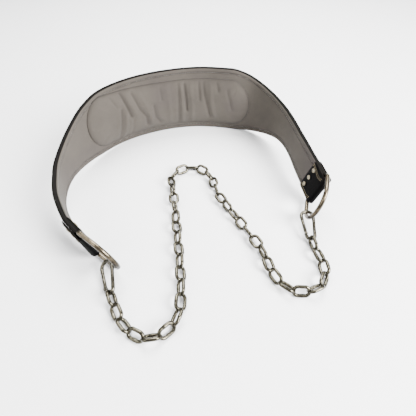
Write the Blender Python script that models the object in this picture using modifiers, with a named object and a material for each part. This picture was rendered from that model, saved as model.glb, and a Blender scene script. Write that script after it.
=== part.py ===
# A leather dip belt: a broad, padded back that narrows to two straps, a riveted leather loop
# with a welded D-ring at each end, and a steel chain held to the rings by two snap hooks.
# Metres, +Z up. The belt stands on the lower edge of its back, and the chain lies on the floor.

import math
from collections import namedtuple

import bmesh
import bpy
from mathutils import Matrix, Vector

MM = 0.001
CLEAR = 0.3 * MM

# Belt
BACK_HEIGHT = 144 * MM
STRAP_WIDTH = 62 * MM
HALF_LENGTH = 429 * MM
LEATHER_WALL = 7 * MM
LINING_WALL = 1.5 * MM
LINING_INSET = 1.2 * MM
ARM_DROOP = 0.58
BACK_PLACE = Vector((-98 * MM, 260.5 * MM, 0))

# Course of the belt from its left end to its right end. share is the place along half the
# length, heading the way that the lower edge runs in plan (degrees), lean the wall's tilt
# outwards (degrees), and fullness is 1 where the belt is as high as its back and 0 on the straps.
Station = namedtuple("Station", "share heading lean fullness")
COURSE = [
    Station(-1.00, 139, 9, 0.00),
    Station(-0.90, 126, 0, 0.00),
    Station(-0.80, 103, -5, 0.00),
    Station(-0.70, 87, -1, 0.02),
    Station(-0.60, 78, 3, 0.23),
    Station(-0.50, 73, 4, 0.54),
    Station(-0.40, 61, 2, 0.79),
    Station(-0.20, 37, 0, 0.94),
    Station(0.00, 18, -1, 1.00),
    Station(0.20, -1, 1, 1.00),
    Station(0.30, -10, 1, 1.00),
    Station(0.40, -17, 2, 0.98),
    Station(0.50, -36, 4, 0.79),
    Station(0.60, -53, 4, 0.46),
    Station(0.70, -69, 5, 0.11),
    Station(0.80, -80, 6, 0.00),
    Station(0.90, -84, 10, 0.00),
    Station(1.00, -79, 13, 0.00),
]

# Lumbar pad, a long cushion with round ends
PAD_LENGTH = 415 * MM
PAD_HEIGHT = 108 * MM
PAD_BULGE = 11 * MM
PAD_LIFT = 14 * MM
PAD_PLACE = 0.0
PAD_EDGE = 36 * MM
PAD_SEAT = 0.6 * MM
PAD_FLATNESS = 0.7
GATHER_WIDTH = 7 * MM
# Gathers across the pad. place is a share of half its length, depth a share of its bulge, and
# slant the share of its height by which the gather's top leans to the left.
Gather = namedtuple("Gather", "place depth slant")
GATHERS = [
    Gather(-0.50, 0.22, 0.30),
    Gather(-0.34, 0.45, 0.34),
    Gather(-0.18, 0.40, 0.26),
    Gather(0.00, 0.26, 0.12),
    Gather(0.16, 0.40, 0.05),
    Gather(0.33, 0.30, 0.04),
    Gather(0.50, 0.42, 0.06),
    Gather(0.66, 0.30, 0.05),
    Gather(0.84, 0.25, 0.04),
]

# End loops, rivets and D-rings
LOOP_LENGTH = 49 * MM
LOOP_LEAF = 3 * MM
BAR_PLACE = 36 * MM
RING_WIRE = 7.5 * MM
RING_LEG = 30 * MM
RING_CORNER = 6 * MM
RIVET_PLACE = 11 * MM
RIVET_SPACING = 18 * MM
RIVET_SHANK = 4 * MM
RIVET_HEAD = 8.5 * MM
RIVET_DOME = 1.4 * MM
RIVET_SHOULDER = (0.7, 0.75)

# Snap hooks
HOOK_LENGTH = 60 * MM
HOOK_WIRE = 6 * MM
HOOK_BOW = 10.5 * MM
HOOK_EYE = 7 * MM
GATE_WIRE = 5.4 * MM
GATE_START = 0.10
GATE_END = 0.82
GATE_GAP = 0.4 * MM

# Chain
LINK_COUNT = 42
LINK_WIRE = 5.2 * MM
LINK_WIDTH = 19.6 * MM
LINK_SLACK = 0.75 * MM

# Rolls of the links about the chain's run, from the left hook on. links is how many links the
# run has, first the roll of its first link in degrees from lying flat, step the roll to the next.
Roll = namedtuple("Roll", "links first step")
ROLLS = [
    Roll(4, 122, 95),
    Roll(2, -51, 100),
    Roll(2, -48, 78),
    Roll(5, 126, 90),
    Roll(6, 208, -69),
    Roll(2, -50, -79),
    Roll(2, -47, 93),
    Roll(12, -47, 75),
    Roll(2, -38, 90),
    Roll(1, -49, 0),
    Roll(4, 52, 76),
]

# The chain's route on the floor, between the two hooks
ROUTE = [
    (-132, -204), (-116, -226), (-101, -237), (-73, -246), (-65, -239), (-44, -218), (-40, -190),
    (-41, -165), (-46, -118), (-53, -68), (-61, -12), (-69, 40), (-76, 67), (-64, 96),
    (-51, 106), (-12, 103), (9, 69), (20, 26), (56, -38), (89, -100), (104, -151), (133, -175),
    (159, -172), (174, -163), (187, -135), (180, -110),
]

# Each end of the belt: how far its ring is swung inwards on its bar, how far down the ring's bow
# the hook sits, and the heading in which the hook runs from the ring (degrees).
End = namedtuple("End", "name side ring_swing hook_place hook_depth hook_heading hook_roll")
LEFT = End("left", -1, 6, -72, 11.5 * MM, -77, -32)
RIGHT = End("right", 1, 28, -63, 8.5 * MM, -96, 0)

# Fineness of the meshes
COURSE_STEPS = 240
ROUTE_STEPS = 24
HALVINGS = 24
BELT_STATIONS = 44
BELT_ROWS = 3
PAD_STATIONS = 40
PAD_ROWS = 6
END_CROWDING = 0.35
LINK_SEGMENTS = 12
WIRE_SIDES = 6
TURNED_SIDES = 10
ARC_SEGMENTS = 8
RING_SEGMENTS = 12
MERGE = 0.00001


def clear_scene():
    for item in list(bpy.data.objects):
        bpy.data.objects.remove(item, do_unlink=True)


def new_collection(name):
    collection = bpy.data.collections.new(name)
    bpy.context.scene.collection.children.link(collection)
    return collection


def new_material(name, colour, roughness, metallic):
    material = bpy.data.materials.new(name)
    material.use_nodes = True
    shader = material.node_tree.nodes["Principled BSDF"]
    shader.inputs["Base Color"].default_value = (*colour, 1)
    shader.inputs["Roughness"].default_value = roughness
    shader.inputs["Metallic"].default_value = metallic
    return material


def add_object(name, data, material, matrix=Matrix.Identity(4)):
    data.materials.append(material)
    item = bpy.data.objects.new(name, data)
    item.matrix_world = matrix
    BELT.objects.link(item)
    return item


def mesh_from(bm, name):
    mesh = bpy.data.meshes.new(name)
    bm.to_mesh(mesh)
    bm.free()
    return mesh


def frame_matrix(x_axis, y_axis, z_axis, place):
    matrix = Matrix((x_axis, y_axis, z_axis)).transposed().to_4x4()
    matrix.translation = place
    return matrix


# The course table read as a smooth curve
def station_at(share):
    share = max(COURSE[0].share, min(COURSE[-1].share, share))
    low = max(i for i, row in enumerate(COURSE[:-1]) if row.share <= share)
    a, b = COURSE[low], COURSE[low + 1]
    before, after = COURSE[max(low - 1, 0)], COURSE[min(low + 2, len(COURSE) - 1)]
    gap = b.share - a.share
    t = (share - a.share) / gap
    values = [share]
    for k in range(1, len(a)):
        slope_a = (b[k] - before[k]) / (b.share - before.share) * gap
        slope_b = (after[k] - a[k]) / (after.share - a.share) * gap
        values.append(
            (2 * t**3 - 3 * t**2 + 1) * a[k]
            + (t**3 - 2 * t**2 + t) * slope_a
            + (3 * t**2 - 2 * t**3) * b[k]
            + (t**3 - t**2) * slope_b
        )
    return Station(*values)


def belt_width(share):
    fullness = max(0, min(1, station_at(share).fullness))
    return STRAP_WIDTH + fullness * (BACK_HEIGHT - STRAP_WIDTH)


def lower_edge_height(share):
    return (BACK_HEIGHT - belt_width(share)) / 2 * (1 - ARM_DROOP * share * share)


# The lower edge of the belt's inner face, walked out from the middle of the back to both ends
def walk_course():
    step = 1 / COURSE_STEPS
    points = {0: BACK_PLACE.copy()}
    for side in (-1, 1):
        place = BACK_PLACE.copy()
        for i in range(COURSE_STEPS):
            here = side * i * step
            heading = math.radians(station_at(here + side * step / 2).heading)
            rise = lower_edge_height(here + side * step) - lower_edge_height(here)
            level = math.sqrt((HALF_LENGTH * step) ** 2 - rise**2)
            place = place + side * level * Vector((math.cos(heading), math.sin(heading), 0))
            place.z = lower_edge_height(here + side * step)
            points[side * (i + 1)] = place.copy()
    return points


# The belt's frame at a place: its lower edge, its run, the way up across it, and outwards.
# Past its ends the belt runs on straight.
def belt_frame(share):
    inside = max(-1, min(1, share))
    at = inside * COURSE_STEPS
    low = min(math.floor(at), COURSE_STEPS - 1)
    along = (FOOT[low + 1] - FOOT[low]).normalized()
    foot = FOOT[low].lerp(FOOT[low + 1], at - low)
    foot = foot + along * (share - inside) * HALF_LENGTH
    outward = Vector((-along.y, along.x, 0)).normalized()
    upward = along.cross(outward)
    lean = math.radians(station_at(inside).lean)
    across = math.cos(lean) * upward + math.sin(lean) * outward
    outward = math.cos(lean) * outward - math.sin(lean) * upward
    return foot, along, across, outward


def belt_point(share, up, out):
    foot, along, across, outward = belt_frame(share)
    return foot + across * up + outward * out


# The same place on the flat facets between two of the belt's stations
def facet_point(share, up, out):
    at = (share + 1) / 2 * BELT_STATIONS
    low = math.floor(at)
    a, b = (belt_point(2 * i / BELT_STATIONS - 1, up, out) for i in (low, low + 1))
    return a.lerp(b, at - low)


# A sheet that follows the belt, as an open grid bent to its course, with a straight tail
def belt_sheet(name, tail, edge_inset, out):
    columns = BELT_STATIONS + (2 if tail > 0 else 0)
    bm = bmesh.new()
    bmesh.ops.create_grid(bm, x_segments=columns, y_segments=BELT_ROWS, size=1)
    for vert in bm.verts:
        share, height = vert.co.x * columns / BELT_STATIONS, (vert.co.y + 1) / 2
        if abs(vert.co.x) > 1 - 1 / columns:
            share = math.copysign(1 + tail / HALF_LENGTH, share)
        width = belt_width(share)
        up = edge_inset + height * (width - 2 * edge_inset)
        vert.co = belt_point(share, up, out)
    bmesh.ops.recalc_face_normals(bm, faces=bm.faces)
    middle = min(bm.faces, key=lambda face: (face.calc_center_median() - BACK_PLACE).length)
    if middle.normal.y < 0:
        bmesh.ops.reverse_faces(bm, faces=bm.faces)
    return mesh_from(bm, name)


def add_thickness(item, wall, offset):
    solidify = item.modifiers.new("wall", "SOLIDIFY")
    solidify.thickness = wall
    solidify.offset = offset
    solidify.use_even_offset = True


def cut(item, cutter):
    boolean = item.modifiers.new("cut", "BOOLEAN")
    boolean.object = cutter
    boolean.operation = "DIFFERENCE"
    boolean.solver = "EXACT"


# The outer leather, which runs on inside both end loops
def make_leather():
    tail = BAR_PLACE - RING_WIRE / 2 - 2 * CLEAR
    mesh = belt_sheet("belt_leather", tail, 0, 0)
    item = add_object("belt_leather", mesh, BLACK_LEATHER)
    add_thickness(item, LEATHER_WALL, 1)
    return item


# The suede lining, which stops at the inner leaf of each end loop
def make_lining():
    mesh = belt_sheet("lining", -2 * CLEAR, LINING_INSET, -CLEAR)
    item = add_object("lining", mesh, SUEDE)
    add_thickness(item, LINING_WALL, -1)
    return item


def pad_outline(along):
    beyond = max(0, abs(along) - (PAD_LENGTH - PAD_HEIGHT) / 2)
    return math.sqrt(max(0, (PAD_HEIGHT / 2) ** 2 - beyond**2))


# Height of the pad over the lining: a quick rise from its sewn edge, flat-topped, and gathered
def pad_height(along, up):
    reach = PAD_LENGTH / 2 - abs(along)
    edge = min(max(0, pad_outline(along) - abs(up)), reach)
    rise = min(1, edge / PAD_EDGE)
    bulge = math.sin(rise * math.pi / 2) ** PAD_FLATNESS
    for gather in GATHERS:
        middle = gather.place * PAD_LENGTH / 2 - gather.slant * up
        bulge *= 1 - gather.depth * math.exp(-(((along - middle) / GATHER_WIDTH) ** 2))
    return PAD_BULGE * bulge


def pad_share(along):
    return PAD_PLACE + along / HALF_LENGTH


# The pad: a gathered upper sheet and a plain lower one, which meet at its edge
def make_pad():
    bm = bmesh.new()
    base = -(2 * CLEAR + LINING_WALL + PAD_SEAT)
    middle = PAD_LIFT + PAD_HEIGHT / 2
    for top in (True, False):
        grid = bmesh.ops.create_grid(
            bm, x_segments=PAD_STATIONS, y_segments=PAD_ROWS, size=1
        )["verts"]
        for vert in grid:
            crowded = math.sin(vert.co.x * math.pi / 2)
            along = vert.co.x + END_CROWDING * (crowded - vert.co.x)
            along *= PAD_LENGTH / 2
            up = vert.co.y * pad_outline(along)
            height = pad_height(along, up) if top else 0
            vert.co = facet_point(pad_share(along), middle + up, base - height)
    bmesh.ops.remove_doubles(bm, verts=bm.verts, dist=MERGE)
    bmesh.ops.dissolve_degenerate(bm, edges=bm.edges, dist=MERGE)
    bmesh.ops.recalc_face_normals(bm, faces=bm.faces)
    return add_object("lumbar_pad", mesh_from(bm, "lumbar_pad"), SUEDE)


# The frame of one end: where the lining stops, the way outwards along the strap, up its width,
# and away from the body
def end_frame(end):
    foot, along, across, outward = belt_frame(end.side)
    middle = foot + across * STRAP_WIDTH / 2 + outward * LEATHER_WALL / 2
    return middle, along * end.side, across, outward


def arc(centre_x, centre_y, radius, start, stop, segments):
    points = []
    for i in range(segments + 1):
        angle = math.radians(start + (stop - start) * i / segments)
        points.append((centre_x + radius * math.cos(angle), centre_y + radius * math.sin(angle)))
    return points


def outline_curve(name, points, half_depth):
    curve = bpy.data.curves.new(name, "CURVE")
    curve.dimensions = "2D"
    curve.fill_mode = "BOTH"
    curve.extrude = half_depth
    spline = curve.splines.new("POLY")
    spline.points.add(len(points) - 1)
    for point, (x, y) in zip(spline.points, points):
        point.co = (x, y, 0, 1)
    spline.use_cyclic_u = True
    return curve


def wire_curve(name, points, radius, closed):
    curve = bpy.data.curves.new(name, "CURVE")
    curve.dimensions = "3D"
    curve.bevel_depth = radius
    curve.bevel_resolution = (WIRE_SIDES - 4) // 2
    curve.use_fill_caps = not closed
    spline = curve.splines.new("POLY")
    spline.points.add(len(points) - 1)
    for point, (x, y) in zip(spline.points, points):
        point.co = (x, y, 0, 1)
    spline.use_cyclic_u = closed
    return curve


def curve_as_mesh(name, curve, material, matrix):
    source = bpy.data.objects.new(name + "_outline", curve)
    BELT.objects.link(source)
    bpy.context.view_layer.update()
    shape = source.evaluated_get(bpy.context.evaluated_depsgraph_get())
    mesh = bpy.data.meshes.new_from_object(shape)
    bpy.data.objects.remove(source)
    bm = bmesh.new()
    bm.from_mesh(mesh)
    bmesh.ops.remove_doubles(bm, verts=bm.verts, dist=MERGE)
    bmesh.ops.recalc_face_normals(bm, faces=bm.faces)
    bm.to_mesh(mesh)
    bm.free()
    return add_object(name, mesh, material, matrix)


# The end loop: one strip of leather folded round the ring's bar, its two leaves on the strap
def make_loop(end):
    middle, along, across, outward = end_frame(end)
    gap = max(RING_WIRE, LEATHER_WALL) / 2 + CLEAR
    outer = gap + LOOP_LEAF
    fold = LOOP_LENGTH - outer
    points = [(0, outer)] + arc(fold, 0, outer, 90, -90, ARC_SEGMENTS) + [(0, -outer)]
    points += [(0, -gap)] + arc(fold, 0, gap, -90, 90, ARC_SEGMENTS) + [(0, gap)]
    name = end.name + "_loop"
    curve = outline_curve(name, points, STRAP_WIDTH / 2)
    matrix = frame_matrix(along, outward, along.cross(outward), middle)
    return curve_as_mesh(name, curve, BLACK_LEATHER, matrix)


def turned(name, profile, material, matrix, sides):
    bm = bmesh.new()
    verts = [bm.verts.new((radius, 0, height)) for radius, height in profile]
    for a, b in zip(verts, verts[1:]):
        bm.edges.new((a, b))
    item = add_object(name, mesh_from(bm, name), material, matrix)
    screw = item.modifiers.new("turn", "SCREW")
    screw.axis = "Z"
    screw.steps = sides
    screw.render_steps = sides
    screw.use_merge_vertices = True
    screw.merge_threshold = MERGE
    return item


# Rivets through the loop's leaves and the strap, a shank between two low domed heads
def make_rivets(end, leather, loop):
    middle, along, across, outward = end_frame(end)
    face = max(RING_WIRE, LEATHER_WALL) / 2 + CLEAR + LOOP_LEAF
    seat = face + CLEAR
    head, shank = RIVET_HEAD / 2, RIVET_SHANK / 2
    shoulder, rise = head * RIVET_SHOULDER[0], RIVET_DOME * RIVET_SHOULDER[1]
    profile = [
        (0, seat + RIVET_DOME), (shoulder, seat + rise), (head, seat), (shank, seat),
        (shank, -seat), (head, -seat), (shoulder, -seat - rise), (0, -seat - RIVET_DOME),
    ]
    for number in range(3):
        up = (number - 1) * RIVET_SPACING
        place = middle + along * RIVET_PLACE + across * up
        matrix = frame_matrix(along, outward.cross(along), outward, place)
        turned(f"{end.name}_rivet_{number + 1}", profile, BRASS, matrix, TURNED_SIDES)
        bm = bmesh.new()
        bmesh.ops.create_cone(
            bm, cap_ends=True, segments=TURNED_SIDES, radius1=shank + CLEAR,
            radius2=shank + CLEAR, depth=4 * face,
        )
        cutter = bpy.data.objects.new(
            f"{end.name}_rivet_hole_{number + 1}", mesh_from(bm, "rivet_hole")
        )
        cutter.matrix_world = matrix
        cutter.hide_render = True
        cutter.display_type = "WIRE"
        CUTTERS.objects.link(cutter)
        cut(leather, cutter)
        cut(loop, cutter)


# The ring's own frame: the middle of its bar, the way that it reaches, and up its bar
def ring_frame(end):
    middle, along, across, outward = end_frame(end)
    swing = Matrix.Rotation(math.radians(-end.ring_swing * end.side), 3, across)
    reach = swing @ along
    return middle + along * BAR_PLACE, reach, across


def ring_radius():
    return STRAP_WIDTH / 2 + RING_WIRE / 2 + 2 * CLEAR


def make_ring(end):
    place, reach, across = ring_frame(end)
    half, corner = ring_radius(), RING_CORNER
    points = arc(RING_LEG, 0, half, -90, 90, RING_SEGMENTS)
    points += arc(corner, half - corner, corner, 90, 180, 3)
    points += arc(corner, corner - half, corner, 180, 270, 3)
    curve = wire_curve(end.name + "_ring", points, RING_WIRE / 2, True)
    matrix = frame_matrix(reach, across, reach.cross(across), place)
    return curve_as_mesh(end.name + "_ring", curve, STEEL, matrix)


# The hook's frame: its eye's centre, the way across it, the way to its tip, and its upper side
def hook_frame(end):
    place, reach, across = ring_frame(end)
    bow = ring_radius() - end.hook_depth
    angle = math.radians(end.hook_place)
    tip = place + reach * (RING_LEG + bow * math.cos(angle)) + across * bow * math.sin(angle)
    length = HOOK_LENGTH - HOOK_WIRE
    drop = tip.z - chain_height()
    heading = math.radians(end.hook_heading)
    level = math.sqrt(length**2 - drop**2)
    eye_end = tip + Vector((level * math.cos(heading), level * math.sin(heading), -drop))
    to_tip = (tip - eye_end).normalized()
    level_side = to_tip.cross(Vector((0, 0, 1))).normalized()
    across_hook = Matrix.Rotation(math.radians(end.hook_roll), 3, to_tip) @ level_side
    upper = across_hook.cross(to_tip)
    eye = eye_end + to_tip * HOOK_EYE
    return eye, across_hook, to_tip, upper


# The two circles of the pear shape, and the line on its left side that the gate closes
def hook_shape():
    rise = HOOK_LENGTH - HOOK_WIRE - HOOK_BOW - HOOK_EYE
    bow_x = HOOK_EYE - HOOK_BOW
    distance = math.hypot(bow_x, rise)
    tilt = math.asin((HOOK_BOW - HOOK_EYE) / distance) + math.atan2(-bow_x, rise)
    normal = Vector((-math.cos(tilt), -math.sin(tilt), 0))
    low = normal * HOOK_EYE
    high = Vector((bow_x, rise, 0)) + normal * HOOK_BOW
    return rise, bow_x, math.degrees(tilt), low, high


def make_hook(end):
    eye, across_hook, to_tip, upper = hook_frame(end)
    rise, bow_x, tilt, low, high = hook_shape()
    pivot = low.lerp(high, GATE_START)
    nose = low.lerp(high, GATE_END)
    along = (high - low).normalized()
    start = pivot - along * (GATE_WIRE / 2 + GATE_GAP)
    finish = nose + along * GATE_GAP
    points = [start[:2]]
    points += arc(0, 0, HOOK_EYE, 180 + tilt, 360, ARC_SEGMENTS)
    points += arc(bow_x, rise, HOOK_BOW, 0, 180 + tilt, ARC_SEGMENTS + 2)
    points += [finish[:2]]
    name = end.name + "_hook"
    curve = wire_curve(name, points, HOOK_WIRE / 2, False)
    matrix = frame_matrix(across_hook, to_tip, upper, eye)
    curve_as_mesh(name, curve, STEEL, matrix)
    radius = GATE_WIRE / 2
    length = (nose - pivot).length
    profile = [(0, length), (radius, length), (radius, 0)]
    profile += [
        (radius * math.cos(angle), -radius * math.sin(angle))
        for angle in (math.pi / 6, math.pi / 3)
    ]
    profile += [(0, -radius)]
    gate_matrix = matrix @ frame_matrix(
        Vector((0, 0, 1)).cross(along), Vector((0, 0, 1)), along, pivot
    )
    turned(end.name + "_gate", profile, STEEL, gate_matrix, TURNED_SIDES)


# The height at which a link's middle lies when it has rolled this far from flat
def link_rest(roll):
    half = (LINK_WIDTH - LINK_WIRE) / 2
    return half * abs(math.sin(math.radians(roll))) + LINK_WIRE / 2


def chain_height():
    return link_rest(90)


def link_rolls():
    rolls = []
    for run in ROLLS:
        rolls += [run.first + run.step * i for i in range(run.links)]
    return (rolls * LINK_COUNT)[:LINK_COUNT]


def smooth_route(points):
    ends = [points[0] * 2 - points[1]] + points + [points[-1] * 2 - points[-2]]
    route = []
    for a, b, c, d in zip(ends, ends[1:], ends[2:], ends[3:]):
        for i in range(ROUTE_STEPS):
            t = i / ROUTE_STEPS
            route.append(0.5 * (
                2 * b + (c - a) * t + (2 * a - 5 * b + 4 * c - d) * t**2
                + (3 * b - a - 3 * c + d) * t**3
            ))
    return route + [points[-1]]


# Points one pitch apart along the route
def pace_route(route, pitch):
    joints = [route[0]]
    for a, b in zip(route, route[1:]):
        while (b - joints[-1]).length >= pitch and len(joints) <= LINK_COUNT:
            t = 0.5
            for halving in range(2, HALVINGS):
                step = 0.5**halving
                t += step if (a.lerp(b, t) - joints[-1]).length < pitch else -step
            joints.append(a.lerp(b, t))
    return joints


# The pitch at which the links just fill the route from hook to hook
def fit_pitch(route):
    length = sum((b - a).length for a, b in zip(route, route[1:]))
    low, high = 0, length
    for halving in range(HALVINGS):
        pitch = (low + high) / 2
        if len(pace_route(route, pitch)) > LINK_COUNT:
            low = pitch
        else:
            high = pitch
    return low


def link_mesh(pitch):
    half = (LINK_WIDTH - LINK_WIRE) / 2
    turn = math.pi / LINK_SEGMENTS
    straight = pitch + LINK_WIRE + LINK_SLACK - 2 * half
    bpy.ops.mesh.primitive_torus_add(
        major_segments=LINK_SEGMENTS, minor_segments=WIRE_SIDES,
        major_radius=half / math.cos(turn), minor_radius=LINK_WIRE / 2,
    )
    torus = bpy.context.object
    mesh = torus.data
    bpy.data.objects.remove(torus)
    mesh.transform(Matrix.Rotation(turn, 4, "Z"))
    for vert in mesh.vertices:
        vert.co.x += math.copysign(straight / 2, vert.co.x)
    mesh.name = "link"
    return mesh


def make_chain():
    first, last = hook_frame(LEFT), hook_frame(RIGHT)
    reach = HOOK_EYE - HOOK_WIRE / 2 - CLEAR
    start = first[0] - first[2] * reach
    stop = last[0] - last[2] * reach
    points = [Vector((x * MM, y * MM, chain_height())) for x, y in ROUTE]
    route = smooth_route([start] + points + [stop])
    pitch = fit_pitch(route)
    joints = pace_route(route, pitch)
    rolls = link_rolls()
    rests = [link_rest(roll) for roll in rolls]
    heights = [chain_height()] + [max(a, b) for a, b in zip(rests, rests[1:])]
    for joint, height in zip(joints, heights + [chain_height()]):
        joint.z = height
    mesh = link_mesh(pitch)
    for number, (a, b, roll) in enumerate(zip(joints, joints[1:], rolls), start=1):
        along = (b - a).normalized()
        side = Vector((0, 0, 1)).cross(along).normalized()
        upper = along.cross(side)
        matrix = frame_matrix(along, side, upper, (a + b) / 2)
        matrix = matrix @ Matrix.Rotation(math.radians(roll), 4, "X")
        copy = mesh.copy()
        add_object(f"link_{number:02d}", copy, STEEL, matrix)


# The middle of the footprint comes to the origin, and the lowest point to the floor
def centre_on_floor():
    bpy.context.view_layer.update()
    depsgraph = bpy.context.evaluated_depsgraph_get()
    corners = []
    for item in BELT.objects:
        shape = item.evaluated_get(depsgraph)
        corners += [shape.matrix_world @ vert.co for vert in shape.to_mesh().vertices]
        shape.to_mesh_clear()
    low = Vector([min(corner[k] for corner in corners) for k in range(3)])
    high = Vector([max(corner[k] for corner in corners) for k in range(3)])
    shift = Matrix.Translation((-(low.x + high.x) / 2, -(low.y + high.y) / 2, -low.z))
    for item in list(BELT.objects) + list(CUTTERS.objects):
        item.matrix_world = shift @ item.matrix_world


clear_scene()
BELT = new_collection("dip_belt")
CUTTERS = new_collection("cutters")
BLACK_LEATHER = new_material("black_leather", (0.012, 0.011, 0.011), 0.5, 0)
SUEDE = new_material("grey_suede", (0.31, 0.29, 0.27), 0.85, 0)
STEEL = new_material("nickel_steel", (0.48, 0.46, 0.42), 0.35, 1)
BRASS = new_material("rivet_brass", (0.55, 0.47, 0.33), 0.35, 1)
FOOT = walk_course()

belt_leather = make_leather()
make_lining()
make_pad()
for belt_end in (LEFT, RIGHT):
    end_loop = make_loop(belt_end)
    make_rivets(belt_end, belt_leather, end_loop)
    make_ring(belt_end)
    make_hook(belt_end)
make_chain()
centre_on_floor()
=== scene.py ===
import math

import bpy
import numpy as np
from mathutils import Matrix, Vector


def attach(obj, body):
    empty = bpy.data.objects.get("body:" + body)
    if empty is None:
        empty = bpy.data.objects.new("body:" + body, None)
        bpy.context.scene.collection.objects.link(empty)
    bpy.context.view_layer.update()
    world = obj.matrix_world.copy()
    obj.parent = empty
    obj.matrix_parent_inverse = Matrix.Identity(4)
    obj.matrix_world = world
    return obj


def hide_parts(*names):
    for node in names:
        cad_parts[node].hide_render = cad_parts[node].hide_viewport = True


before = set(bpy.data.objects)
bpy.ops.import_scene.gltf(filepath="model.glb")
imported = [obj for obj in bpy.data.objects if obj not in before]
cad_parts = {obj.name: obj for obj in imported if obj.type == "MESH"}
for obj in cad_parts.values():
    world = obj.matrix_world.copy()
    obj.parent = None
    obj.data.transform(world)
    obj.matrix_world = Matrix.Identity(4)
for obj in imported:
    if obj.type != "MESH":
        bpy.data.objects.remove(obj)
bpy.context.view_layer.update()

bpy.ops.object.select_all(action="DESELECT")

# Camera: looks down on the open belt from in front, from less than half a metre above the
# floor. Its axis meets the floor inside the open belt.
MM = 0.001
BELT_SHIFT = Vector((27.91, -16.7, 0.2)) * MM
CAMERA_PITCH = math.radians(48.5)
CAMERA_HEIGHT = 427 * MM
CAMERA_LENS = 25.96

camera_place = Vector((0, -CAMERA_HEIGHT / math.tan(CAMERA_PITCH), CAMERA_HEIGHT)) + BELT_SHIFT
bpy.ops.object.camera_add(location=camera_place, rotation=(math.pi / 2 - CAMERA_PITCH, 0, 0))
camera = bpy.context.object
camera.name = "camera"
camera.data.lens = CAMERA_LENS
bpy.context.scene.camera = camera


# Floor and light: a white table under soft studio lamps, the brightest in front on the right.
# The table and the lamps are no part of the belt.
class Value:
    """A number or colour that a node gives. Sums on it add Math nodes."""

    def __init__(self, finish, socket):
        self.finish = finish
        self.socket = socket

    def sum_with(self, operation, first, second):
        """The Math node of that operation, on these two."""
        return self.finish.node("Math", {"operation": operation}, {0: first, 1: second})

    def __add__(self, other):
        return self.sum_with("ADD", self, other)

    def __sub__(self, other):
        return self.sum_with("SUBTRACT", self, other)

    def __rsub__(self, other):
        return self.sum_with("SUBTRACT", other, self)

    def __mul__(self, other):
        return self.sum_with("MULTIPLY", self, other)

    __radd__ = __add__
    __rmul__ = __mul__


class Finish:
    """A material whose surface is built from nodes."""

    def __init__(self, name, constants):
        self.material = bpy.data.materials.new(name)
        self.material.use_nodes = True
        self.tree = self.material.node_tree
        self.shader = self.tree.nodes["Principled BSDF"]
        for socket, value in constants.items():
            self.shader.inputs[socket].default_value = value

    def node(self, kind, settings, sockets, output=0):
        """Adds one node, its settings first and then what its sockets are fed."""
        node = self.tree.nodes.new("ShaderNode" + kind)
        for setting, value in settings.items():
            if setting == "stops":
                while len(node.color_ramp.elements) < len(value):
                    node.color_ramp.elements.new(1)
                for element, (stop, level) in zip(node.color_ramp.elements, value):
                    element.position = stop
                    element.color = (level, level, level, 1)
            else:
                setattr(node, setting, value)
        for socket, value in sockets.items():
            self.feed(node.inputs[socket], value)
        return Value(self, node.outputs[output])

    def feed(self, socket, value):
        """Links a value to a socket, or sets a plain number or colour there."""
        if isinstance(value, Value):
            self.tree.links.new(value.socket, socket)
        else:
            socket.default_value = value

    def where(self):
        """The place on the piece, in its own axes."""
        return self.node("TexCoord", {}, {}, "Object")

    def noise(self, scale, detail=2, roughness=0.5):
        sockets = {"Vector": self.where(), "Scale": scale, "Detail": detail,
                   "Roughness": roughness}
        return self.node("TexNoise", {}, sockets)

    def steps(self, value, stops):
        """A ramp of greys, with a level from 0 to 1 at each stop."""
        return self.node("ValToRGB", {"stops": stops}, {"Fac": value})

    def mix(self, factor, first, second):
        """Two colours blended. A Mix node's colours are its sockets 6 and 7, and output 2."""
        return self.node("Mix", {"data_type": "RGBA"}, {0: factor, 6: first, 7: second}, 2)

    def painted(self, name):
        """What paint() left on the piece under that name."""
        return self.node("Attribute", {"attribute_name": name}, {}, "Fac")

    def surface(self, colour, roughness, height, strength, distance):
        """Feeds the shader its colour, its roughness and the bumps of its height."""
        sockets = {"Height": height, "Strength": strength, "Distance": distance}
        self.feed(self.shader.inputs["Base Color"], colour)
        self.feed(self.shader.inputs["Roughness"], roughness)
        self.feed(self.shader.inputs["Normal"], self.node("Bump", {}, sockets))


FLOOR_SIZE = 9
FLOOR_WHITE = (0.96, 0.96, 0.96, 1)
FLOOR_SHADE = (0.94, 0.94, 0.94, 1)
# Lamps: place, size, and power in watts
LAMPS = [
    ((1.6, -0.8, 1.3), 1.1, 250),
    ((-1.6, -0.7, 1.6), 1.4, 40),
    ((0.1, 1.2, 1.9), 1.4, 140),
]
ROOM_LIGHT = (0.95, 0.97, 1.0, 1)
ROOM_STRENGTH = 0.55

bpy.ops.mesh.primitive_plane_add(size=FLOOR_SIZE)
floor = bpy.context.object
floor.name = "floor"
white_table = Finish("white_table", {})
cloud = white_table.noise(scale=2)
white_table.surface(
    white_table.mix(cloud, FLOOR_WHITE, FLOOR_SHADE), cloud * 0.1 + 0.6, cloud,
    strength=0.02, distance=0.001,
)
floor.data.materials.append(white_table.material)

for lamp_place, lamp_size, lamp_power in LAMPS:
    aim = Vector(lamp_place).to_track_quat("Z", "Y").to_euler()
    bpy.ops.object.light_add(type="AREA", location=lamp_place, rotation=aim)
    lamp = bpy.context.object.data
    lamp.size = lamp_size
    lamp.energy = lamp_power

room = bpy.data.worlds.new("studio")
bpy.context.scene.world = room
room.use_nodes = True
room.node_tree.nodes["Background"].inputs["Color"].default_value = ROOM_LIGHT
room.node_tree.nodes["Background"].inputs["Strength"].default_value = ROOM_STRENGTH


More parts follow.
